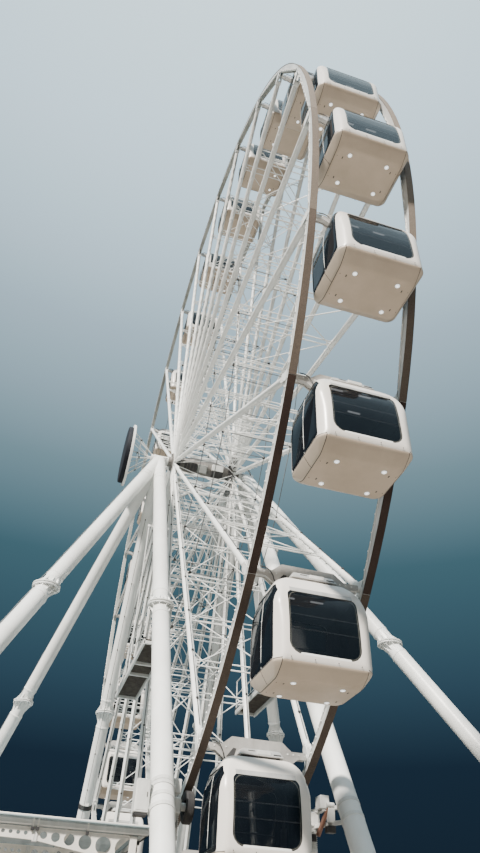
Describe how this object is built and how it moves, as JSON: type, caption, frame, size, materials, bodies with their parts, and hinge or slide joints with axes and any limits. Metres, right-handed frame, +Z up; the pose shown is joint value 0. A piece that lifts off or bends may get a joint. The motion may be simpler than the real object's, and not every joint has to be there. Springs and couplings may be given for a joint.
{
  "type": "ferris wheel",
  "caption": "Observation wheel on eight tubular legs, with closed level-hanging cabins, friction-tyre drives, a boarding deck and a canopy.",
  "frame": {"origin": "on the ground straight below the middle of the axle", "axes": "+X along the axle away from the boarding side, +Z up, -Y towards the front"},
  "size_m": [21.07, 37.3448, 39.3354],
  "materials": {
    "white_steel": "white gloss paint on steel tube",
    "running_band": "brown worn running face",
    "cabin_shell": "warm white gloss shell",
    "tinted_glass": "dark tinted glass",
    "galvanised_steel": "dull galvanised steel",
    "drive_paint": "satin light grey paint",
    "tyre_rubber": "matt black rubber",
    "sign_face": "dark sheet with a pale rim",
    "canopy_white": "satin white paint",
    "roof_sheet": "translucent ribbed sheet"
  },
  "bodies": {
    "tower": {"axle_head_left": "white_steel", "axle_head_right": "white_steel", "sign_left": "sign_face", "gangway_left": "galvanised_steel", "gangway_right": "galvanised_steel", "leg_front_left": "white_steel", "outrigger_front_left": "white_steel", "leg_back_left": "white_steel", "outrigger_back_left": "white_steel", "leg_front_right": "white_steel", "outrigger_front_right": "white_steel", "leg_back_right": "white_steel", "outrigger_back_right": "white_steel", "drive_unit_front_left": "drive_paint", "drive_unit_back_left": "drive_paint", "drive_unit_front_right": "drive_paint", "drive_unit_back_right": "drive_paint", "boarding_deck": "galvanised_steel", "deck_steps": "galvanised_steel", "canopy_frame": "canopy_white", "canopy_roof": "roof_sheet", "control_cabinet": "drive_paint"},
    "wheel": {"hub": "white_steel", "ring_left": "running_band", "ring_right": "running_band", "spokes_1": "white_steel", "spokes_2": "white_steel", "spokes_3": "white_steel", "spokes_4": "white_steel", "spokes_5": "white_steel", "spokes_6": "white_steel"},
    "cabin_01": {"cabin_01": "cabin_shell"},
    "cabin_02": {"cabin_02": "cabin_shell"},
    "cabin_03": {"cabin_03": "cabin_shell"},
    "cabin_04": {"cabin_04": "cabin_shell"},
    "cabin_05": {"cabin_05": "cabin_shell"},
    "cabin_06": {"cabin_06": "cabin_shell"},
    "cabin_07": {"cabin_07": "cabin_shell"},
    "cabin_08": {"cabin_08": "cabin_shell"},
    "cabin_09": {"cabin_09": "cabin_shell"},
    "cabin_10": {"cabin_10": "cabin_shell"},
    "cabin_11": {"cabin_11": "cabin_shell"},
    "cabin_12": {"cabin_12": "cabin_shell"},
    "cabin_13": {"cabin_13": "cabin_shell"},
    "cabin_14": {"cabin_14": "cabin_shell"},
    "cabin_15": {"cabin_15": "cabin_shell"},
    "cabin_16": {"cabin_16": "cabin_shell"},
    "cabin_17": {"cabin_17": "cabin_shell"},
    "cabin_18": {"cabin_18": "cabin_shell"},
    "cabin_19": {"cabin_19": "cabin_shell"},
    "cabin_20": {"cabin_20": "cabin_shell"},
    "cabin_21": {"cabin_21": "cabin_shell"},
    "cabin_22": {"cabin_22": "cabin_shell"},
    "cabin_23": {"cabin_23": "cabin_shell"},
    "cabin_24": {"cabin_24": "cabin_shell"},
    "drive_tyre_front_left": {"drive_tyre_front_left": "tyre_rubber"},
    "drive_tyre_back_left": {"drive_tyre_back_left": "tyre_rubber"},
    "drive_tyre_front_right": {"drive_tyre_front_right": "tyre_rubber"},
    "drive_tyre_back_right": {"drive_tyre_back_right": "tyre_rubber"}
  },
  "joints": [
    {"name": "wheel_spin", "type": "hinge", "parent": "tower", "child": "wheel", "pos_m": [0, 0, 21.34], "axis": [1, 0, 0], "continuous": true},
    {"name": "cabin_01_pivot", "type": "hinge", "parent": "wheel", "child": "cabin_01", "pos_m": [0, -0.40241, 3.60757], "axis": [1, 0, 0], "continuous": true},
    {"name": "cabin_02_pivot", "type": "hinge", "parent": "wheel", "child": "cabin_02", "pos_m": [0, -4.97818, 4.31593], "axis": [1, 0, 0], "continuous": true},
    {"name": "cabin_03_pivot", "type": "hinge", "parent": "wheel", "child": "cabin_03", "pos_m": [0, -9.21471, 6.18446], "axis": [1, 0, 0], "continuous": true},
    {"name": "cabin_04_pivot", "type": "hinge", "parent": "wheel", "child": "cabin_04", "pos_m": [0, -12.82327, 9.08582], "axis": [1, 0, 0], "continuous": true},
    {"name": "cabin_05_pivot", "type": "hinge", "parent": "wheel", "child": "cabin_05", "pos_m": [0, -15.55794, 12.82228], "axis": [1, 0, 0], "continuous": true},
    {"name": "cabin_06_pivot", "type": "hinge", "parent": "wheel", "child": "cabin_06", "pos_m": [0, -17.23237, 17.1392], "axis": [1, 0, 0], "continuous": true},
    {"name": "cabin_07_pivot", "type": "hinge", "parent": "wheel", "child": "cabin_07", "pos_m": [0, -17.73243, 21.74241], "axis": [1, 0, 0], "continuous": true},
    {"name": "cabin_08_pivot", "type": "hinge", "parent": "wheel", "child": "cabin_08", "pos_m": [0, -17.02407, 26.31818], "axis": [1, 0, 0], "continuous": true},
    {"name": "cabin_09_pivot", "type": "hinge", "parent": "wheel", "child": "cabin_09", "pos_m": [0, -15.15554, 30.55471], "axis": [1, 0, 0], "continuous": true},
    {"name": "cabin_10_pivot", "type": "hinge", "parent": "wheel", "child": "cabin_10", "pos_m": [0, -12.25418, 34.16327], "axis": [1, 0, 0], "continuous": true},
    {"name": "cabin_11_pivot", "type": "hinge", "parent": "wheel", "child": "cabin_11", "pos_m": [0, -8.51772, 36.89794], "axis": [1, 0, 0], "continuous": true},
    {"name": "cabin_12_pivot", "type": "hinge", "parent": "wheel", "child": "cabin_12", "pos_m": [0, -4.2008, 38.57237], "axis": [1, 0, 0], "continuous": true},
    {"name": "cabin_13_pivot", "type": "hinge", "parent": "wheel", "child": "cabin_13", "pos_m": [0, 0.40241, 39.07243], "axis": [1, 0, 0], "continuous": true},
    {"name": "cabin_14_pivot", "type": "hinge", "parent": "wheel", "child": "cabin_14", "pos_m": [0, 4.97818, 38.36407], "axis": [1, 0, 0], "continuous": true},
    {"name": "cabin_15_pivot", "type": "hinge", "parent": "wheel", "child": "cabin_15", "pos_m": [0, 9.21471, 36.49554], "axis": [1, 0, 0], "continuous": true},
    {"name": "cabin_16_pivot", "type": "hinge", "parent": "wheel", "child": "cabin_16", "pos_m": [0, 12.82327, 33.59418], "axis": [1, 0, 0], "continuous": true},
    {"name": "cabin_17_pivot", "type": "hinge", "parent": "wheel", "child": "cabin_17", "pos_m": [0, 15.55794, 29.85772], "axis": [1, 0, 0], "continuous": true},
    {"name": "cabin_18_pivot", "type": "hinge", "parent": "wheel", "child": "cabin_18", "pos_m": [0, 17.23237, 25.5408], "axis": [1, 0, 0], "continuous": true},
    {"name": "cabin_19_pivot", "type": "hinge", "parent": "wheel", "child": "cabin_19", "pos_m": [0, 17.73243, 20.9376], "axis": [1, 0, 0], "continuous": true},
    {"name": "cabin_20_pivot", "type": "hinge", "parent": "wheel", "child": "cabin_20", "pos_m": [0, 17.02407, 16.36181], "axis": [1, 0, 0], "continuous": true},
    {"name": "cabin_21_pivot", "type": "hinge", "parent": "wheel", "child": "cabin_21", "pos_m": [0, 15.15554, 12.12529], "axis": [1, 0, 0], "continuous": true},
    {"name": "cabin_22_pivot", "type": "hinge", "parent": "wheel", "child": "cabin_22", "pos_m": [0, 12.25418, 8.51673], "axis": [1, 0, 0], "continuous": true},
    {"name": "cabin_23_pivot", "type": "hinge", "parent": "wheel", "child": "cabin_23", "pos_m": [0, 8.51772, 5.78206], "axis": [1, 0, 0], "continuous": true},
    {"name": "cabin_24_pivot", "type": "hinge", "parent": "wheel", "child": "cabin_24", "pos_m": [0, 4.2008, 4.10763], "axis": [1, 0, 0], "continuous": true},
    {"name": "drive_tyre_front_left_spin", "type": "hinge", "parent": "tower", "child": "drive_tyre_front_left", "pos_m": [0, -8.33799, 4.97577], "axis": [1, 0, 0], "continuous": true},
    {"name": "drive_tyre_back_left_spin", "type": "hinge", "parent": "tower", "child": "drive_tyre_back_left", "pos_m": [0, 8.33799, 4.97577], "axis": [1, 0, 0], "continuous": true},
    {"name": "drive_tyre_front_right_spin", "type": "hinge", "parent": "tower", "child": "drive_tyre_front_right", "pos_m": [0, -8.33799, 4.97577], "axis": [1, 0, 0], "continuous": true},
    {"name": "drive_tyre_back_right_spin", "type": "hinge", "parent": "tower", "child": "drive_tyre_back_right", "pos_m": [0, 8.33799, 4.97577], "axis": [1, 0, 0], "continuous": true}
  ],
  "couplings": [
    {"joint": "cabin_01_pivot", "follows": "wheel_spin", "ratio": -1},
    {"joint": "cabin_02_pivot", "follows": "wheel_spin", "ratio": -1},
    {"joint": "cabin_03_pivot", "follows": "wheel_spin", "ratio": -1},
    {"joint": "cabin_04_pivot", "follows": "wheel_spin", "ratio": -1},
    {"joint": "cabin_05_pivot", "follows": "wheel_spin", "ratio": -1},
    {"joint": "cabin_06_pivot", "follows": "wheel_spin", "ratio": -1},
    {"joint": "cabin_07_pivot", "follows": "wheel_spin", "ratio": -1},
    {"joint": "cabin_08_pivot", "follows": "wheel_spin", "ratio": -1},
    {"joint": "cabin_09_pivot", "follows": "wheel_spin", "ratio": -1},
    {"joint": "cabin_10_pivot", "follows": "wheel_spin", "ratio": -1},
    {"joint": "cabin_11_pivot", "follows": "wheel_spin", "ratio": -1},
    {"joint": "cabin_12_pivot", "follows": "wheel_spin", "ratio": -1},
    {"joint": "cabin_13_pivot", "follows": "wheel_spin", "ratio": -1},
    {"joint": "cabin_14_pivot", "follows": "wheel_spin", "ratio": -1},
    {"joint": "cabin_15_pivot", "follows": "wheel_spin", "ratio": -1},
    {"joint": "cabin_16_pivot", "follows": "wheel_spin", "ratio": -1},
    {"joint": "cabin_17_pivot", "follows": "wheel_spin", "ratio": -1},
    {"joint": "cabin_18_pivot", "follows": "wheel_spin", "ratio": -1},
    {"joint": "cabin_19_pivot", "follows": "wheel_spin", "ratio": -1},
    {"joint": "cabin_20_pivot", "follows": "wheel_spin", "ratio": -1},
    {"joint": "cabin_21_pivot", "follows": "wheel_spin", "ratio": -1},
    {"joint": "cabin_22_pivot", "follows": "wheel_spin", "ratio": -1},
    {"joint": "cabin_23_pivot", "follows": "wheel_spin", "ratio": -1},
    {"joint": "cabin_24_pivot", "follows": "wheel_spin", "ratio": -1},
    {"joint": "drive_tyre_front_left_spin", "follows": "wheel_spin", "ratio": -50},
    {"joint": "drive_tyre_back_left_spin", "follows": "wheel_spin", "ratio": -50},
    {"joint": "drive_tyre_front_right_spin", "follows": "wheel_spin", "ratio": -50},
    {"joint": "drive_tyre_back_right_spin", "follows": "wheel_spin", "ratio": -50}
  ]
}
